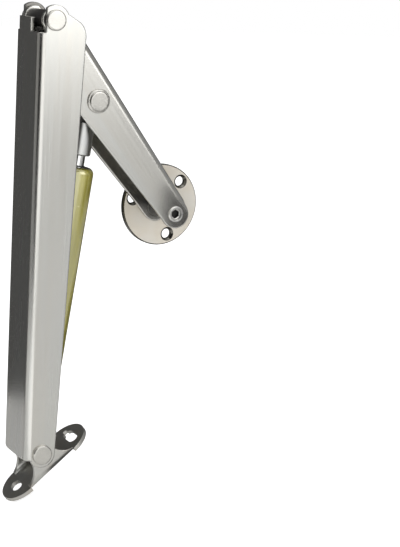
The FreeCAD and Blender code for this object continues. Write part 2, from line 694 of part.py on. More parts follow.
def make_piston_rod():
    tail = "(-piston_reach - piston_length - rod_tail)"
    head = "(-rod_eye_length + rod_thread)"
    step = "(-rod_eye_length)"
    rod = turned("piston_rod", [
        ("0", tail), ("rod_radius", tail), ("rod_radius", step), ("rod_thread_radius", step),
        ("rod_thread_radius", head), ("0", head),
    ], "XZ_Plane")
    at_strut_pivot(rod)
    bore = "(tube_radius - tube_wall)"
    low = "(-piston_reach - piston_length)"
    high = "(-piston_reach)"
    rim = f"({bore} - piston_gap)"
    piston = turned("piston", [
        ("rod_radius", low), (rim, low), (rim, high), ("rod_radius", high),
    ], "XZ_Plane")
    at_strut_pivot(piston)


def make_gas_tube():
    bore = "(tube_radius - tube_wall)"
    mouth = "(rod_radius + mouth_gap)"
    foot = "tube_start"
    tube = turned("gas_tube", [
        ("foot_stud_radius", foot), ("tube_radius", foot), ("tube_radius", TUBE_TOP), (mouth, TUBE_TOP),
        (mouth, f"{TUBE_TOP} - tube_wall"), (bore, f"{TUBE_TOP} - tube_wall"),
        (bore, f"{foot} + tube_wall"), ("foot_stud_radius", f"{foot} + tube_wall"),
    ], "XZ_Plane")
    round_rims(tube, "tube_shoulder", [("tube_radius", TUBE_TOP)])
    bevel_rims(tube, "tube_shoulder / 2", [("tube_radius", foot)])
    bevel_rims(tube, "tube_shoulder - tube_wall", [(bore, f"{TUBE_TOP} - tube_wall")])
    along_strut(tube)
    # Guide bush and seal sit under the rolled shoulder
    inside = "(tube_shoulder - tube_wall)"
    top = f"({TUBE_TOP} - tube_wall)"
    guide_low = f"({top} - guide_length)"
    guide = turned("rod_guide", [
        ("rod_radius + rod_gap", guide_low), (bore, guide_low), (bore, f"{top} - {inside}"),
        (f"{bore} - {inside}", top), ("rod_radius + rod_gap", top),
    ], "XZ_Plane")
    along_strut(guide)
    seal = turned("rod_seal", [
        ("rod_radius + rod_gap", f"{guide_low} - seal_length"), (bore, f"{guide_low} - seal_length"),
        (bore, guide_low), ("rod_radius + rod_gap", guide_low),
    ], "XZ_Plane")
    along_strut(seal)


def make_foot_eye():
    """Eye at the foot of the strut, on a stud that the tube is closed round."""
    neck = "(foot_eye_radius + foot_eye_neck)"
    stud_end = "(tube_start + 2 * tube_wall)"
    bar = turned("foot_eye_bar", [
        ("0", "-foot_eye_radius"), ("foot_eye_radius", "-foot_eye_radius"),
        ("foot_eye_radius", "foot_eye_radius"),
        ("foot_stud_radius", neck), ("foot_stud_radius", stud_end), ("0", stud_end),
    ], "XZ_Plane")
    pin = "rivet_radius + running_gap"
    bore = f"{pin} + eye_bush_wall"
    pocket(bar, rings(bar, "XZ_Plane", [("0", "0", bore)]), f"2 * (foot_eye_radius + {SPARE})")
    along_strut(eye_on_bar("foot_eye", bar, ("foot_eye_radius", "foot_eye_thickness"), neck, stud_end))
    end = f"({SHORT_INNER} - running_gap)"
    tube_on_pin("foot_bush", pin, bore, (f"-{end}", end), along_strut)
    nut = new_body("foot_nut")
    low = "tube_start - foot_nut_height"
    pad(nut, outline(nut, "XY_Plane", hexagon("foot_nut_flats", 0), low), "foot_nut_height", both_ways=False)
    pocket(nut, rings(nut, "XY_Plane", [("0", "0", "foot_stud_radius")], "tube_start"), "4 * foot_nut_height")
    nut.Label = "foot_nut"
    along_strut(nut)


def make_cabinet_plate():
    plate = turned("cabinet_plate", [
        ("0", "-plate_thickness"), ("plate_radius", "-plate_thickness"), ("plate_radius", "0"), ("0", "0"),
    ])
    bevel_rims(plate, "plate_edge", [("plate_radius", "-plate_thickness")])
    holes = []
    for step in range(3):
        turn = f"(hole_turn + {120 * step}) * 1 deg"
        holes.append((f"pitch_radius * cos({turn})", f"pitch_radius * sin({turn})"))
    drilled = rings(plate, "XZ_Plane", [(across, up, "screw_hole") for across, up in holes])
    pocket(plate, drilled, f"2 * (plate_thickness + {SPARE})")
    into_wall = FreeCAD.Placement(FreeCAD.Vector(), FreeCAD.Rotation(X_AXIS, -90))
    sinks = plate
    for across, up in holes:
        cone = doc.addObject("Part::Cone", "countersink")
        cone.setExpression("Radius1", bound(f"screw_sink + {SPARE}"))
        cone.setExpression("Radius2", bound("screw_hole"))
        cone.setExpression("Height", bound(f"screw_sink + {SPARE} - screw_hole"))
        cone.Placement = into_wall
        cone.setExpression("Placement.Base.x", bound(across))
        cone.setExpression("Placement.Base.y", bound(f"-plate_thickness - {SPARE}"))
        cone.setExpression("Placement.Base.z", bound(up))
        cut = doc.addObject("Part::Cut", "sunk_plate")
        cut.Base = sinks
        cut.Tool = cone
        sinks = cut
    seat = doc.addObject("Part::Cylinder", "hub_seat")
    seat.setExpression("Radius", bound("hub_foot"))
    seat.setExpression("Height", bound(f"plate_thickness + {2 * SPARE}"))
    seat.Placement = into_wall
    seat.setExpression("Placement.Base.x", bound(PIVOT_X))
    seat.setExpression("Placement.Base.y", bound(f"-plate_thickness - {SPARE}"))
    seat.setExpression("Placement.Base.z", bound(PIVOT_Z))
    final = doc.addObject("Part::Cut", "cabinet_plate_cut")
    final.Base = sinks
    final.Tool = seat
    plate.Label = "cabinet_plate_blank"
    final.Label = "cabinet_plate"


def make_cabinet_pivot():
    """Hub riveted into the plate, with the journal that the far flange turns on, and its screw."""
    front = f"({SHORT_HALF} + plate_standoff)"
    back = f"({SHORT_HALF} + plate_standoff + plate_thickness)"
    tip = f"({SHORT_INNER} - journal_lip)"
    shank_end = f"({tip} + screw_grip)"
    collar_face = f"({SHORT_HALF} + running_gap)"
    hub = turned("pivot_hub", [
        ("0", back), ("hub_foot", back), ("hub_foot", front), ("hub_radius", front),
        ("hub_radius", collar_face), ("journal_radius", collar_face), ("journal_radius", tip),
        ("screw_shank", tip), ("screw_shank", shank_end), ("0", shank_end),
    ])
    at_cabinet_pivot(hub)
    near_in = f"(-{SHORT_INNER} + running_gap)"
    tube_on_pin("pivot_spacer", "screw_shank", "journal_radius", (near_in, tip), at_cabinet_pivot)
    top = f"(-{SHORT_HALF} - running_gap)"
    head_top = f"({top} - screw_rise)"
    floor = f"({head_top} + dish_depth)"
    screw = turned("pivot_screw", [
        ("0", floor), ("dish_floor", floor), ("dish_radius", head_top), ("screw_head", head_top),
        ("screw_head", top), ("screw_shank", top), ("screw_shank", shank_end), ("0", shank_end),
    ])
    bevel_rims(screw, "screw_edge", [("screw_head", head_top)])
    pocket(screw, outline(screw, "XZ_Plane", hexagon("socket_flats", 30), f"-{floor}"), "2 * socket_depth")
    at_cabinet_pivot(screw)


make_cabinet_plate()
make_cabinet_pivot()
make_short_arm()
make_long_arm()
make_top_pivot()
make_strut_pivot()
make_bottom_pivot()
make_door_bracket()
make_gas_tube()
make_foot_eye()
make_piston_rod()
make_rod_eye()
doc.recompute()

NODES = [
    "cabinet_plate", "pivot_hub", "pivot_screw", "pivot_spacer",
    "short_arm", "strut_rivet_near", "strut_rivet_far",
    "long_arm", "top_rivet", "top_sleeve", "top_washer_near", "top_washer_far",
    "bottom_rivet", "bottom_washer_near", "bottom_washer_far",
    "door_bracket",
    "gas_tube", "rod_guide", "rod_seal", "foot_eye", "foot_bush", "foot_nut",
    "piston_rod", "piston", "rod_eye", "strut_pin", "strut_bush",
]

for item in doc.Objects:
    if "Invalid" in item.State or "Error" in item.State:
        raise ValueError(f"{item.Label} failed: {item.State}")
os.makedirs("parts", exist_ok=True)
for label in NODES:
    shape = doc.getObjectsByLabel(label)[0].Shape
    if shape.isNull() or not shape.isValid() or not shape.Solids:
        raise ValueError(f"{label} has no sound solid")
    shape.exportStep(f"parts/{label}.step")
    print(label, len(shape.Solids), round(shape.Volume, 1))
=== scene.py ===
import json
import math

import bmesh
import bpy
from bpy.props import FloatProperty, FloatVectorProperty, PointerProperty
from mathutils import Euler, Matrix, Vector


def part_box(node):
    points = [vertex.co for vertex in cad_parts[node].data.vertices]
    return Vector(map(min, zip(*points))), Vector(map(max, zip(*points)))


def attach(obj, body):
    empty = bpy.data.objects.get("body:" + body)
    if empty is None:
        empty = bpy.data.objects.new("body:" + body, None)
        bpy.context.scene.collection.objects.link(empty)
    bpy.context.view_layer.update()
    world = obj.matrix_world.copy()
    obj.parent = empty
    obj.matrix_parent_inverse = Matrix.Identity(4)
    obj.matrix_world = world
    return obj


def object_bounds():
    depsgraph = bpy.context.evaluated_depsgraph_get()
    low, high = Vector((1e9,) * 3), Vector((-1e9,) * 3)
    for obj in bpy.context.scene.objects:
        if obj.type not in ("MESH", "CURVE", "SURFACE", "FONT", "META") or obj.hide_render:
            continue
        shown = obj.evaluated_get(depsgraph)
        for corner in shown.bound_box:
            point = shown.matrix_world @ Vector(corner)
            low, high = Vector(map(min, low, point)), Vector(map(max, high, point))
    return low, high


bl_info = {
    "name": "Lid Stay",
    "version": (1, 0, 0),
    "blender": (4, 5, 0),
    "location": "3D View > Sidebar > Lid Stay",
    "description": "Finishes and small fittings for a folding lid stay, and the studio it is shown in",
    "category": "Object",
}

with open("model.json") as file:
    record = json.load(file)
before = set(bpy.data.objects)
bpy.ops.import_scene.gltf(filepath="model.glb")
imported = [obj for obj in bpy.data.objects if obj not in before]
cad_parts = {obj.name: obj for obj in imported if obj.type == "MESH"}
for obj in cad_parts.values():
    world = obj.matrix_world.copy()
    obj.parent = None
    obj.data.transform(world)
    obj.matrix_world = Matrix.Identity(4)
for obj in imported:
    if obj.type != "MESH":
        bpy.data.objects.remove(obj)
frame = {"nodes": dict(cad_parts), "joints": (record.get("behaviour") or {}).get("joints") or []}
cad_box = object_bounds()

MM = 0.001
JOINTS = {joint["name"]: joint for joint in frame["joints"]}
CABINET_PIVOT = Vector(JOINTS["cabinet_swing"]["pos_m"])
TOP_PIVOT = Vector(JOINTS["arm_fold"]["pos_m"])
FOOT_PIVOT = Vector(JOINTS["bracket_tilt"]["pos_m"])
STRUT_AXIS = Vector(JOINTS["strut_slide"]["axis"]).normalized()
ALONG_Y = Vector((0, 1, 0))
ALONG_Z = Vector((0, 0, 1))


def highest(node, start, axis):
    """Highest place of a node's mesh along an axis, in metres from the start."""
    return max((vertex.co - start).dot(axis) for vertex in frame["nodes"][node].data.vertices)


def half_width(node, start, axis):
    """Largest distance of a node's mesh from an axis."""
    offsets = [vertex.co - start for vertex in frame["nodes"][node].data.vertices]
    return max((offset - axis * offset.dot(axis)).length for offset in offsets)


TUBE_TOP = highest("gas_tube", FOOT_PIVOT, STRUT_AXIS)
TUBE_RADIUS = half_width("gas_tube", FOOT_PIVOT, STRUT_AXIS)
ROD_RADIUS = half_width("piston_rod", FOOT_PIVOT, STRUT_AXIS)
SCREW_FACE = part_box("pivot_screw")[0].y


def linear(hex_colour):
    """sRGB hex to the linear values that shaders and lamps take."""
    parts = [int(hex_colour[place:place + 2], 16) / 255 for place in (1, 3, 5)]
    return tuple(part / 12.92 if part <= 0.04045 else ((part + 0.055) / 1.055) ** 2.4 for part in parts)


def colour(label, note, hex_colour):
    return FloatVectorProperty(
        name=label, description=note, subtype="COLOR", size=3, min=0, max=1, default=linear(hex_colour)
    )


def length(label, note, millimetres):
    return FloatProperty(
        name=label, description=note, subtype="DISTANCE", unit="LENGTH", default=millimetres * MM
    )


def share(label, note, value):
    return FloatProperty(name=label, description=note, subtype="FACTOR", min=0, max=1, default=value)


def radiance(label, note, value):
    return FloatProperty(name=label, description=note, min=0, default=value)


class LidStayFinish(bpy.types.PropertyGroup):
    nickel: colour("Nickel", "Satin nickel plate on both arms", "#C1BFB9")
    nickel_cool: colour("Nickel, cool", "Cooler drifts in the same plate", "#BEBEBA")
    # Painted shade inside the long arm's channel, on the far flange's inner face
    channel_shade: colour("Channel shade", "Painted shade inside the long arm's channel", "#6E6C68")
    nickel_roughness: share("Nickel roughness", "How far the satin plate scatters light", 0.25)
    plate: colour("Plate", "Frosted nickel on the round plate", "#CAC2B4")
    plate_cool: colour("Plate, cool", "Cooler drifts on the round plate", "#CFCBC2")
    plate_roughness: share("Plate roughness", "How far the frosted face scatters light", 0.5)
    plate_metal: share("Plate metal", "How far the frosted face shines as metal does", 0.35)
    # Painted shade: dark colour of the plate's bare-steel rim, holes and countersinks
    cut_edge_shade: colour("Cut edges", "Bare steel of the plate's rim and holes, with painted shade", "#6E6C66")
    cut_roughness: share("Cut roughness", "How far those cut edges scatter light", 0.25)
    bracket: colour("Bracket", "Nickel on the door bracket", "#B9B5AD")
    rivet: colour("Rivets", "Faces of the rivet heads", "#B6B4AF")
    screw: colour("Screw", "Bright zinc plate on the pivot screw's head", "#EDEBE6")
    zinc: colour("Zinc", "Zinc plate on the turned fittings", "#B4B5B4")
    chrome: colour("Rod", "Hard chrome on the piston rod", "#D9D9D8")
    lacquer: colour("Lacquer", "Gold lacquer on the strut's tube", "#AEA53C")
    lacquer_deep: colour("Lacquer, deep", "Where the lacquer lies thicker", "#928C22")
    # Painted shade on the tube's rolled end face
    tube_end_shade: colour("Tube end shade", "Painted shade on the tube's rolled end face", "#38340F")
    lacquer_metal: share("Lacquer metal", "How far the metal shines through the lacquer", 0.35)
    # Painted shade: black for the cup that lines the pivot screw's hexagon socket, where shade falls
    socket_shade: colour("Socket shade", "Painted shade: black skin in the hexagon socket", "#141312")
    nylon: colour("Bushes", "Black moulded bushes and washers", "#1C1B1A")
    rubber: colour("Seals", "Nitrile rubber of the seals", "#111111")
    alloy: colour("Piston", "Machined aluminium of the piston", "#C6C7C9")
    grain_width: length("Grain width", "Width of the streaks that the polishing belt leaves", 0.9)
    grain_length: length("Grain length", "Length of those streaks", 45)
    band_width: length("Band width", "Width of the soft bands that the rolls leave along the arms", 3.5)
    band_length: length("Band length", "Length of those bands", 128)


class LidStayFittings(bpy.types.PropertyGroup):
    lip_gap: length("Wiper gap", "Room between the rod and the wiper lip", 0.05)
    lip_rise: length("Wiper rise", "Wiper lip above the mouth of the tube", 0.5)
    lip_width: length("Wiper width", "Wiper lip's radial width", 0.55)
    lip_depth: length("Wiper depth", "Wiper lip's depth inside the mouth", 0.8)
    seam_drop: length("Seam drop", "Top of the tube to the rolled seam", 17)
    seam_height: length("Seam height", "Height of the rolled seam along the tube", 0.5)
    seam_rise: length("Seam rise", "Rolled seam above the tube", 0.06)
    dish_depth: length("Dish depth", "Depth of the dish in the pivot screw's head", 1.1)
    # The socket sizes shape the black cup of painted shade in the pivot screw's socket
    socket_flats: length("Socket", "Across the flats of the black cup of painted shade", 3.5)
    socket_depth: length("Socket depth", "Depth of the black cup of painted shade", 1.85)
    socket_wall: length("Socket skin", "Thickness of the black cup of painted shade", 0.05)


class LidStayStudio(bpy.types.PropertyGroup):
    floor: colour("Floor", "Pale paper floor", "#F6F6F5")
    key: radiance("Key", "Radiance of the soft box at the front right", 2.2)
    top: radiance("Top", "Radiance of the soft box overhead", 1.0)
    side: radiance("Side light", "Radiance of the soft box at the front left", 5.6)
    fill: radiance("Fill", "Light of the white room on matt surfaces", 0.66)
    lift: radiance("Lift", "Glow that brings the seen floor to white", 0.6)


PICTURE_HEIGHT_PX = 547
FOCAL_PX = 1542.87
SENSOR_MM = 36
VIEW_AZIMUTH = -28.781
VIEW_ELEVATION = 11.537
VIEW_ROLL = 3.202
# From the top pivot to the camera
VIEW_OFFSET = Vector((-0.2570, -0.6187, 0.0288))

WHITE = (1, 1, 1, 1)
# The middle range of a noise, which each pattern stretches to the values that it needs
NOISE_MIDDLE = {"From Min": 0.3, "From Max": 0.7}
BEVEL_SAMPLES = 8
# How far a normal lies along an axis, from where a face begins to count as turned that way to where
# it fully does
PLATE_FACE = {"From Min": 0.9, "From Max": 0.98}
TUBE_END_FACE = {"From Min": 0.7, "From Max": 0.95}
# A normal with a lower Y than this counts as turned to the near side
NEAR_FACING = -0.5
SMOOTH_ANGLE = math.radians(35)


def add_node(tree, kind, inputs=(), **settings):
    """Add a node with its own settings, and give its sockets a value or a link."""
    node = tree.nodes.new(kind)
    for name, value in settings.items():
        setattr(node, name, value)
    for socket, value in dict(inputs).items():
        if isinstance(value, bpy.types.NodeSocket):
            tree.links.new(value, node.inputs[socket])
        else:
            node.inputs[socket].default_value = value
    return node


def start_material(name):
    material = bpy.data.materials.new(name)
    material.use_nodes = True
    material.node_tree.nodes.clear()
    return material, material.node_tree


def end_material(tree, inputs):
    shader = add_node(tree, "ShaderNodeBsdfPrincipled", inputs)
    add_node(tree, "ShaderNodeOutputMaterial", {"Surface": shader.outputs["BSDF"]})


def pattern(tree, size, turn=0.0, stretch=1.0, detail=2.0):
    """Noise on object coordinates: its size across, and how much longer it runs along the turned Z
    axis. Real grain, grit and draw lines are finer than a pixel, so the finishes below draw them as
    coarse as they need to be to show."""
    place = add_node(tree, "ShaderNodeTexCoord").outputs["Object"]
    mapping = add_node(tree, "ShaderNodeMapping", {
        "Vector": place, "Rotation": (0, turn, 0), "Scale": (size, size, size * stretch),
    }, vector_type="TEXTURE")
    return add_node(tree, "ShaderNodeTexNoise", {
        "Vector": mapping.outputs["Vector"], "Scale": 1, "Detail": detail,
    }).outputs["Fac"]


def uneven(tree, noise, middle, reach):
    """A value that wanders as far as its reach, either side of the middle, as the noise does."""
    return add_node(tree, "ShaderNodeMapRange", {
        "Value": noise, **NOISE_MIDDLE, "To Min": middle - reach, "To Max": middle + reach,
    }).outputs["Result"]


def drifting(tree, noise, first, second):
    """A colour that drifts from the first to the second as the noise does."""
    drift = add_node(tree, "ShaderNodeMapRange", {"Value": noise, **NOISE_MIDDLE})
    return add_node(tree, "ShaderNodeMix", {
        "Factor": drift.outputs["Result"], "A": (*first, 1), "B": (*second, 1),
    }, data_type="RGBA").outputs["Result"]


def relief(tree, height, strength=0.3, depth_mm=0.02, edge_mm=None):
    """Normals of a finely textured surface. With a radius, the finishing has rounded its sharp edges."""
    inputs = {"Height": height, "Strength": strength, "Distance": depth_mm * MM}
    if edge_mm:
        worn = add_node(tree, "ShaderNodeBevel", {"Radius": edge_mm * MM}, samples=BEVEL_SAMPLES)
        inputs["Normal"] = worn.outputs["Normal"]
    return add_node(tree, "ShaderNodeBump", inputs).outputs["Normal"]


def satin_nickel(name, node, finish, inner, turn=0.0):
    """Nickel plate on belt-polished steel: faint streaks along the part, soft bands of tone, a wide
    soft highlight. The far flange's inner face takes the inner colour, painted shade on the long arm."""
    material, tree = start_material(name)
    low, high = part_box(node)
    coordinates = add_node(tree, "ShaderNodeTexCoord").outputs
    place = add_node(tree, "ShaderNodeSeparateXYZ", {"Vector": coordinates["Object"]}).outputs["Y"]
    facing = add_node(tree, "ShaderNodeSeparateXYZ", {"Vector": coordinates["Normal"]}).outputs["Y"]
    # Painted shade: on the far flange's inner face (far half, turned to the near side) the inner colour
    # replaces the nickel; on the long arm it stands for the shade inside its channel
    far_half = add_node(tree, "ShaderNodeMath", {
        0: place, 1: (low.y + high.y) / 2,
    }, operation="GREATER_THAN").outputs["Value"]
    faces_near = add_node(tree, "ShaderNodeMath", {
        0: facing, 1: NEAR_FACING,
    }, operation="LESS_THAN").outputs["Value"]
    inside = add_node(tree, "ShaderNodeMath", {
        0: far_half, 1: faces_near,
    }, operation="MULTIPLY").outputs["Value"]
    bands = pattern(tree, finish.band_width, turn, finish.band_length / finish.band_width)
    streaks = pattern(tree, finish.grain_width, turn, finish.grain_length / finish.grain_width)
    polished = drifting(tree, bands, finish.nickel, finish.nickel_cool)
    shade = add_node(tree, "ShaderNodeMix", {
        "Factor": inside, "A": polished, "B": (*inner, 1),
    }, data_type="RGBA")
    rough = add_node(tree, "ShaderNodeMath", {
        0: uneven(tree, streaks, middle=0, reach=0.02),
        1: uneven(tree, bands, finish.nickel_roughness, reach=0.02),
    }, operation="ADD")
    end_material(tree, {
        "Base Color": shade.outputs["Result"], "Metallic": 1, "Roughness": rough.outputs["Value"],
        "Normal": relief(tree, streaks, strength=0.08, edge_mm=0.9),
    })
    return material


def tumbled_metal(name, first, second, roughness, grit_mm, edge_mm=0.3, drift_mm=9):
    """Metal tumbled in a barrel, and plated afterwards where it has a plate: fine pits without
    direction, so it shines more softly than the arms."""
    material, tree = start_material(name)
    grit = pattern(tree, grit_mm * MM, detail=4)
    drift = pattern(tree, drift_mm * MM)
    end_material(tree, {
        "Base Color": drifting(tree, drift, first, second), "Metallic": 1,
        "Roughness": uneven(tree, grit, roughness, reach=0.05),
        "Normal": relief(tree, grit, edge_mm=edge_mm),
    })
    return material


def frosted_plate(name, finish, grit_mm=0.6, edge_mm=0.3, drift_mm=11):
    """Blasted and plated face that scatters light evenly; its rim, holes and countersinks were cut
    later and are bare steel that mirrors the dark side of the room, darkened further by painted shade."""
    material, tree = start_material(name)
    normal = add_node(tree, "ShaderNodeTexCoord").outputs["Normal"]
    across = add_node(tree, "ShaderNodeSeparateXYZ", {"Vector": normal}).outputs["Y"]
    flatness = add_node(tree, "ShaderNodeMath", {0: across}, operation="ABSOLUTE").outputs["Value"]
    cut = add_node(tree, "ShaderNodeMapRange", {
        "Value": flatness, **PLATE_FACE, "To Min": 1, "To Max": 0,
    }).outputs["Result"]
    grit = pattern(tree, grit_mm * MM, detail=4)
    face = drifting(tree, pattern(tree, drift_mm * MM), finish.plate, finish.plate_cool)
    # Painted shade: faces not turned along Y (the rim, hole walls and countersinks) take the dark cut-edge
    # colour
    shade = add_node(tree, "ShaderNodeMix", {
        "Factor": cut, "A": face, "B": (*finish.cut_edge_shade, 1),
    }, data_type="RGBA")
    rough = add_node(tree, "ShaderNodeMapRange", {
        "Value": cut, "To Min": finish.plate_roughness, "To Max": finish.cut_roughness,
    })
    metal = add_node(tree, "ShaderNodeMapRange", {
        "Value": cut, "To Min": finish.plate_metal, "To Max": 1,
    })
    end_material(tree, {
        "Base Color": shade.outputs["Result"], "Metallic": metal.outputs["Result"],
        "Roughness": rough.outputs["Result"], "Normal": relief(tree, grit, edge_mm=edge_mm),
    })
    return material


def gold_lacquer(name, finish, turn, drift_mm=5, line_mm=0.6):
    """Yellow lacquer sprayed over a drawn steel tube: a clear gloss over metal that tints it. The
    coat's IOR is high, for the strong gleam of the metal. Its rolled end face is painted dark: painted
    shade."""
    material, tree = start_material(name)
    drift = pattern(tree, drift_mm * MM, turn, stretch=6)
    draw_lines = pattern(tree, line_mm * MM, turn, stretch=60)
    normal = add_node(tree, "ShaderNodeTexCoord").outputs["Normal"]
    upward = add_node(tree, "ShaderNodeVectorMath", {0: normal, 1: STRUT_AXIS}, operation="DOT_PRODUCT")
    end_face = add_node(tree, "ShaderNodeMapRange", {"Value": upward.outputs["Value"], **TUBE_END_FACE})
    side = drifting(tree, drift, finish.lacquer, finish.lacquer_deep)
    # Painted shade: faces turned along the strut's axis, the tube's rolled end, take the dark end colour
    shade = add_node(tree, "ShaderNodeMix", {
        "Factor": end_face.outputs["Result"], "A": side, "B": (*finish.tube_end_shade, 1),
    }, data_type="RGBA")
    end_material(tree, {
        "Base Color": shade.outputs["Result"], "Metallic": finish.lacquer_metal,
        "Roughness": uneven(tree, draw_lines, middle=0.34, reach=0.04),
        "Coat Weight": 1, "Coat Roughness": 0.2, "Coat IOR": 2.4,
        "Normal": relief(tree, draw_lines, strength=0.2, depth_mm=0.01),
    })
    return material


def hard_chrome(name, finish, turn, line_mm=0.5):
    """Ground and chromed rod: near-mirror, with the finest lines round it."""
    material, tree = start_material(name)
    lines = pattern(tree, line_mm * MM, turn, stretch=0.4)
    end_material(tree, {
        "Base Color": (*finish.chrome, 1), "Metallic": 1,
        "Roughness": uneven(tree, lines, middle=0.13, reach=0.03),
    })
    return material


def moulded(name, shade, roughness, grit_mm):
    """Moulded nylon or rubber, or the black skin of painted shade in the screw's socket: dull, with a fine
    sparked texture.
    """
    material, tree = start_material(name)
    grit = pattern(tree, grit_mm * MM, detail=3)
    end_material(tree, {
        "Base Color": (*shade, 1), "Roughness": uneven(tree, grit, roughness, reach=0.06),
        "Normal": relief(tree, grit),
    })
    return material


def dress(material, *nodes):
    for node in nodes:
        slots = frame["nodes"][node].data.materials
        slots.clear()
        slots.append(material)


def add_piece(shape, name, body, material):
    """Turn a bmesh into a piece that rides on a body, with soft shading across shallow edges."""
    mesh = bpy.data.meshes.new(name)
    for face in shape.faces:
        face.smooth = True
    shape.to_mesh(mesh)
    shape.free()
    mesh.set_sharp_from_angle(angle=SMOOTH_ANGLE)
    mesh.materials.append(material)
    piece = bpy.data.objects.new(name, mesh)
    bpy.context.scene.collection.objects.link(piece)
    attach(piece, body)


def turned_ring(outline, centre, axis, steps=72):
    """Spin a closed outline of radius and place along the axis into a ring."""
    shape = bmesh.new()
    corners = [shape.verts.new((radius, 0, along)) for radius, along in outline]
    edges = [shape.edges.new(pair) for pair in zip(corners, corners[1:] + corners[:1])]
    bmesh.ops.spin(
        shape, geom=corners + edges, cent=(0, 0, 0), axis=ALONG_Z, angle=math.tau, steps=steps,
        use_merge=True,
    )
    bmesh.ops.recalc_face_normals(shape, faces=shape.faces)
    turn = ALONG_Z.rotation_difference(axis).to_matrix().to_4x4()
    bmesh.ops.transform(shape, matrix=Matrix.Translation(centre) @ turn, verts=shape.verts)
    return shape


def socket_shade_cup(fittings):
    """Thin black cup that lies just inside the pivot screw's own hexagon: painted shade in the socket."""
    corner_radius = fittings.socket_flats / math.sqrt(3)
    cup = bmesh.new()
    bmesh.ops.create_cone(
        cup, cap_ends=True, segments=6, radius1=corner_radius, radius2=corner_radius,
        depth=fittings.socket_depth,
    )
    mouth = max(cup.faces, key=lambda face: face.calc_center_median().z)
    bmesh.ops.delete(cup, geom=[mouth], context="FACES_ONLY")
    bmesh.ops.solidify(cup, geom=cup.faces, thickness=fittings.socket_wall)
    bmesh.ops.recalc_face_normals(cup, faces=cup.faces)
    dish_floor = SCREW_FACE + fittings.dish_depth + fittings.socket_wall
    middle = Vector((CABINET_PIVOT.x, dish_floor + fittings.socket_depth / 2, CABINET_PIVOT.z))
    turn = ALONG_Z.rotation_difference(-ALONG_Y).to_matrix().to_4x4()
    bmesh.ops.transform(cup, matrix=Matrix.Translation(middle) @ turn, verts=cup.verts)
    return cup


def wiper_ring(fittings):
    """Lip round the rod in the mouth of the tube, with a slanted outer shoulder."""
    inner = ROD_RADIUS + fittings.lip_gap
    outer = inner + fittings.lip_width
    outline = [
        (inner, -fittings.lip_depth), (outer, -fittings.lip_depth), (outer, 0),
        ((inner + outer) / 2, fittings.lip_rise), (inner, fittings.lip_rise),
    ]
    return turned_ring(outline, FOOT_PIVOT + STRUT_AXIS * TUBE_TOP, STRUT_AXIS)


def seam_ring(fittings):
    """Low bead round the tube, sunk into its wall by as much as it rises."""
    half = fittings.seam_height / 2
    root = TUBE_RADIUS - fittings.seam_rise
    outline = [
        (root, -half), (TUBE_RADIUS, -half), (TUBE_RADIUS + fittings.seam_rise, 0),
        (TUBE_RADIUS, half), (root, half),
    ]
    return turned_ring(outline, FOOT_PIVOT + STRUT_AXIS * (TUBE_TOP - fittings.seam_drop), STRUT_AXIS)


class LIDSTAY_OT_arms(bpy.types.Operator):
    """Give both arms their satin nickel, with its streaks along each arm"""
    bl_idname = "lidstay.arms"
    bl_label = "Finish the arms"

    def execute(self, context):
        finish = context.scene.lid_stay_finish
        arm = TOP_PIVOT - CABINET_PIVOT
        turn = math.atan2(arm.x, arm.z)
        # The long arm's far flange gets painted shade on its inner face; the short arm's inner face keeps
        # the nickel
        long = satin_nickel("satin nickel, long arm", "long_arm", finish, finish.channel_shade)
        dress(long, "long_arm")
        short = satin_nickel("satin nickel, short arm", "short_arm", finish, finish.nickel, turn)
        dress(short, "short_arm")
        return {"FINISHED"}


class LIDSTAY_OT_mounts(bpy.types.Operator):
    """Give the round plate its frosted nickel and the door bracket its tumbled nickel"""
    bl_idname = "lidstay.mounts"
    bl_label = "Finish the plate and bracket"

    def execute(self, context):
        finish = context.scene.lid_stay_finish
        dress(frosted_plate("frosted nickel, plate", finish), "cabinet_plate")
        nickel = tumbled_metal(
            "tumbled nickel, bracket", finish.bracket, finish.nickel_cool, roughness=0.33, grit_mm=0.7
        )
        dress(nickel, "door_bracket")
        return {"FINISHED"}


class LIDSTAY_OT_fasteners(bpy.types.Operator):
    """Finish the rivets, the turned fittings and the pivot screw, and line the screw's socket with a black
    cup of painted shade
    """
    bl_idname = "lidstay.fasteners"
    bl_label = "Finish the fasteners"

    def execute(self, context):
        finish = context.scene.lid_stay_finish
        nickel = tumbled_metal(
            "tumbled nickel, rivets", finish.rivet, finish.nickel, roughness=0.24, grit_mm=0.5, edge_mm=0.8
        )
        dress(nickel, "top_rivet", "bottom_rivet", "strut_rivet_near", "strut_rivet_far")
        zinc = tumbled_metal(
            "zinc plate, turned fittings", finish.zinc, finish.nickel_cool, roughness=0.32, grit_mm=0.4
        )
        dress(zinc, "pivot_hub", "strut_pin", "rod_eye", "foot_eye", "foot_nut")
        bright = tumbled_metal(
            "bright zinc plate, screw", finish.screw, finish.zinc, roughness=0.34, grit_mm=0.4
        )
        dress(bright, "pivot_screw")
        # Painted shade: a thin black cup lines the screw's hexagon socket
        socket_shade = moulded("painted shade, socket", finish.socket_shade, roughness=0.45, grit_mm=0.3)
        cup = socket_shade_cup(context.scene.lid_stay_fittings)
        add_piece(cup, "socket_shade_liner", "cabinet_side", socket_shade)
        return {"FINISHED"}


class LIDSTAY_OT_strut(bpy.types.Operator):
    """Finish the tube and rod, and add the wiper lip and the rolled seam"""
    bl_idname = "lidstay.strut"
    bl_label = "Finish the strut"

    def execute(self, context):
        finish = context.scene.lid_stay_finish
        fittings = context.scene.lid_stay_fittings
        turn = math.atan2(STRUT_AXIS.x, STRUT_AXIS.z)
        lacquer = gold_lacquer("gold lacquer, tube", finish, turn)
        dress(lacquer, "gas_tube")
        dress(hard_chrome("hard chrome, rod", finish, turn), "piston_rod")
        rubber = moulded("nitrile rubber, wiper", finish.rubber, roughness=0.5, grit_mm=0.3)
        add_piece(wiper_ring(fittings), "wiper_lip", "cylinder", rubber)
        add_piece(seam_ring(fittings), "rolled_seam", "cylinder", lacquer)
        return {"FINISHED"}


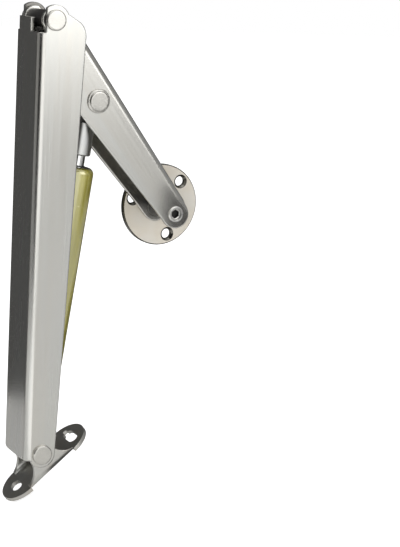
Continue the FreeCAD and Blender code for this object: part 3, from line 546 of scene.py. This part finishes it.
class LIDSTAY_OT_inner(bpy.types.Operator):
    """Finish the bushes, washers, seals and the piston inside"""
    bl_idname = "lidstay.inner"
    bl_label = "Finish the inner pieces"

    def execute(self, context):
        finish = context.scene.lid_stay_finish
        nylon = moulded("moulded nylon, bushes", finish.nylon, roughness=0.45, grit_mm=0.4)
        dress(
            nylon, "pivot_spacer", "top_sleeve", "top_washer_near", "top_washer_far",
            "bottom_washer_near", "bottom_washer_far", "foot_bush", "strut_bush", "rod_guide",
        )
        dress(moulded("nitrile rubber, seals", finish.rubber, roughness=0.55, grit_mm=0.3), "rod_seal")
        alloy = tumbled_metal(
            "machined aluminium, piston", finish.alloy, finish.zinc, roughness=0.3, grit_mm=0.3
        )
        dress(alloy, "piston")
        return {"FINISHED"}


def add_panel(name, centre, target, width, height):
    """Flat panel that faces its target."""
    shape = bmesh.new()
    # A square of one metre, scaled to the wanted width and height
    bmesh.ops.create_grid(shape, x_segments=1, y_segments=1, size=0.5)
    bmesh.ops.scale(shape, vec=(width, height, 1), verts=shape.verts)
    turn = (target - centre).to_track_quat("Z", "Y").to_matrix().to_4x4()
    bmesh.ops.transform(shape, matrix=Matrix.Translation(centre) @ turn, verts=shape.verts)
    mesh = bpy.data.meshes.new(name)
    shape.to_mesh(mesh)
    shape.free()
    panel = bpy.data.objects.new(name, mesh)
    bpy.context.scene.collection.objects.link(panel)
    return panel


def paper_floor(studio):
    """Matt white paper. Where the camera sees it, a glow brings it to white."""
    material, tree = start_material("paper floor")
    paper = add_node(tree, "ShaderNodeBsdfDiffuse", {"Color": (*studio.floor, 1)})
    seen = add_node(tree, "ShaderNodeLightPath").outputs["Is Camera Ray"]
    lift = add_node(tree, "ShaderNodeMath", {0: seen, 1: studio.lift}, operation="MULTIPLY")
    glow = add_node(tree, "ShaderNodeEmission", {"Color": WHITE, "Strength": lift.outputs["Value"]})
    both = add_node(tree, "ShaderNodeAddShader", {0: paper.outputs["BSDF"], 1: glow.outputs["Emission"]})
    add_node(tree, "ShaderNodeOutputMaterial", {"Surface": both.outputs["Shader"]})
    return material


def glowing_paper(name, strength):
    """White paper that shines by itself, for the cards."""
    material, tree = start_material(name)
    glow = add_node(tree, "ShaderNodeEmission", {"Color": WHITE, "Strength": strength})
    add_node(tree, "ShaderNodeOutputMaterial", {"Surface": glow.outputs["Emission"]})
    return material


def white_room(studio):
    """Room that the camera and reflections see white, while matt surfaces get only its fill."""
    world = bpy.data.worlds.new("white room")
    world.use_nodes = True
    tree = world.node_tree
    tree.nodes.clear()
    rays = add_node(tree, "ShaderNodeLightPath").outputs
    seen = rays["Is Camera Ray"]
    for kind in ("Is Glossy Ray", "Is Transmission Ray"):
        either = add_node(tree, "ShaderNodeMath", {0: seen, 1: rays[kind]}, operation="MAXIMUM")
        seen = either.outputs["Value"]
    strength = add_node(tree, "ShaderNodeMapRange", {"Value": seen, "To Min": studio.fill, "To Max": 1})
    room = add_node(tree, "ShaderNodeBackground", {
        "Color": WHITE, "Strength": strength.outputs["Result"],
    })
    add_node(tree, "ShaderNodeOutputWorld", {"Surface": room.outputs["Background"]})
    return world


FLOOR_SIZE = 8
# Cards that only reflections show: place from the middle of the stay, whether it lies flat, width and
# height in metres, glow. The dark ones draw the webs, bends, edges and rivet rims, the bright ones the
# pale bands along the bends and the tube's highlight.
CARDS = (
    ("back_card", (-0.093, 0.12, 0.149), False, 0.234, 0.502, 0.105),
    ("left_card", (-0.42, 0.0, 0.12), False, 0.26, 0.60, 0.35),
    ("front_card", (-0.373, -0.252, 0.12), False, 0.30, 0.60, 0.01),
    ("light_card", (-0.104, -0.59, 0.10), False, 0.40, 0.60, 1.75),
    ("right_card", (0.414, -0.073, 0.12), False, 0.73, 0.60, 0.38),
    ("hood_card", (-0.2, -0.46, 0.57), False, 0.45, 0.36, 0.02),
    ("far_card", (0.16, 0.24, 0.16), False, 0.36, 0.54, 0.05),
    ("skirt_card", (0.17, -0.39, -0.110), True, 0.60, 0.42, 0.88),
    ("heel_card", (-0.12, 0.07, -0.109), True, 0.14, 0.12, 0.6),
    ("pivot_card", (0.0455, -0.038, 0.0135), False, 0.027, 0.027, 0.05),
    ("shine_card", (-0.13, -0.185, -0.109), True, 0.18, 0.23, 1.65),
    ("under_card", (0.145, 0.085, -0.108), True, 0.33, 0.22, 0.05),
)
# Soft boxes: name, place from the middle, width and height in metres, and whether matt surfaces and
# reflections get their light
LAMPS = (
    ("key", (0.36, -0.73, 0.31), 0.5, 0.56, False, True),
    ("top", (-0.3, -0.2, 1.0), 0.8, 0.8, True, True),
    ("side", (-0.55, -0.6, 0.15), 0.5, 0.5, True, False),
)


def hang_cards(middle):
    for name, place, flat, width, height, strength in CARDS:
        centre = middle + Vector(place)
        target = centre + ALONG_Z if flat else Vector((middle.x, middle.y, centre.z))
        card = add_panel(name, centre, target, width, height)
        card.data.materials.append(glowing_paper(f"paper, {name}", strength))
        card.visible_camera = False
        card.visible_diffuse = False
        card.visible_shadow = False


def hang_lamps(studio, middle):
    for name, place, width, height, on_matt, in_shine in LAMPS:
        lamp_data = bpy.data.lights.new(name, "AREA")
        lamp_data.shape = "RECTANGLE"
        lamp_data.size = width
        lamp_data.size_y = height
        # Watts that give the lamp's face the wanted radiance
        lamp_data.energy = getattr(studio, name) * math.pi * width * height
        lamp = bpy.data.objects.new(name, lamp_data)
        lamp.location = middle + Vector(place)
        lamp.rotation_euler = (-Vector(place)).to_track_quat("-Z", "Y").to_euler()
        lamp.visible_diffuse = on_matt
        lamp.visible_glossy = in_shine
        bpy.context.scene.collection.objects.link(lamp)


def add_camera():
    """Camera at the photograph's viewing angle. The picture is taller than wide, so the sensor's
    width spans its height."""
    camera_data = bpy.data.cameras.new("camera")
    camera_data.sensor_width = SENSOR_MM
    camera_data.lens = FOCAL_PX / PICTURE_HEIGHT_PX * SENSOR_MM
    camera = bpy.data.objects.new("camera", camera_data)
    turn = Euler((math.radians(90 - VIEW_ELEVATION), 0, math.radians(VIEW_AZIMUTH)))
    roll = Matrix.Rotation(math.radians(VIEW_ROLL), 4, "Z")
    camera.matrix_world = Matrix.Translation(TOP_PIVOT + VIEW_OFFSET) @ turn.to_matrix().to_4x4() @ roll
    bpy.context.scene.collection.objects.link(camera)
    return camera


class LIDSTAY_OT_stage(bpy.types.Operator):
    """Put up the pale floor, the white room, the cards, the soft boxes and the camera"""
    bl_idname = "lidstay.stage"
    bl_label = "Set the stage"

    def execute(self, context):
        scene = context.scene
        studio = scene.lid_stay_studio
        low = Vector(cad_box[0])
        high = Vector(cad_box[1])
        middle = (low + high) / 2
        floor_centre = Vector((middle.x, middle.y, low.z))
        floor = add_panel("floor", floor_centre, floor_centre + ALONG_Z, FLOOR_SIZE, FLOOR_SIZE)
        floor.data.materials.append(paper_floor(studio))
        scene.world = white_room(studio)
        hang_cards(middle)
        hang_lamps(studio, middle)
        scene.camera = add_camera()
        scene.view_settings.view_transform = "Standard"
        return {"FINISHED"}


OPERATORS = (
    LIDSTAY_OT_arms, LIDSTAY_OT_mounts, LIDSTAY_OT_fasteners, LIDSTAY_OT_strut, LIDSTAY_OT_inner,
    LIDSTAY_OT_stage,
)
GROUPS = (
    ("lid_stay_finish", LidStayFinish),
    ("lid_stay_fittings", LidStayFittings),
    ("lid_stay_studio", LidStayStudio),
)


class LIDSTAY_PT_panel(bpy.types.Panel):
    """Steps that finish the lid stay, with their sizes and colours"""
    bl_idname = "LIDSTAY_PT_panel"
    bl_label = "Lid Stay"
    bl_space_type = "VIEW_3D"
    bl_region_type = "UI"
    bl_category = "Lid Stay"

    def draw(self, context):
        for step in OPERATORS:
            self.layout.operator(step.bl_idname)
        for group_name, kind in GROUPS:
            group = getattr(context.scene, group_name)
            for name in kind.bl_rna.properties.keys():
                if name not in ("rna_type", "name"):
                    self.layout.prop(group, name)


CLASSES = (*(kind for name, kind in GROUPS), *OPERATORS, LIDSTAY_PT_panel)


def register():
    for kind in CLASSES:
        bpy.utils.register_class(kind)
    for name, kind in GROUPS:
        setattr(bpy.types.Scene, name, PointerProperty(type=kind))


def unregister():
    for name, kind in GROUPS:
        delattr(bpy.types.Scene, name)
    for kind in reversed(CLASSES):
        bpy.utils.unregister_class(kind)


def main():
    register()
    bpy.ops.lidstay.arms()
    bpy.ops.lidstay.mounts()
    bpy.ops.lidstay.fasteners()
    bpy.ops.lidstay.strut()
    bpy.ops.lidstay.inner()
    bpy.ops.lidstay.stage()


if __name__ == "__main__":
    main()
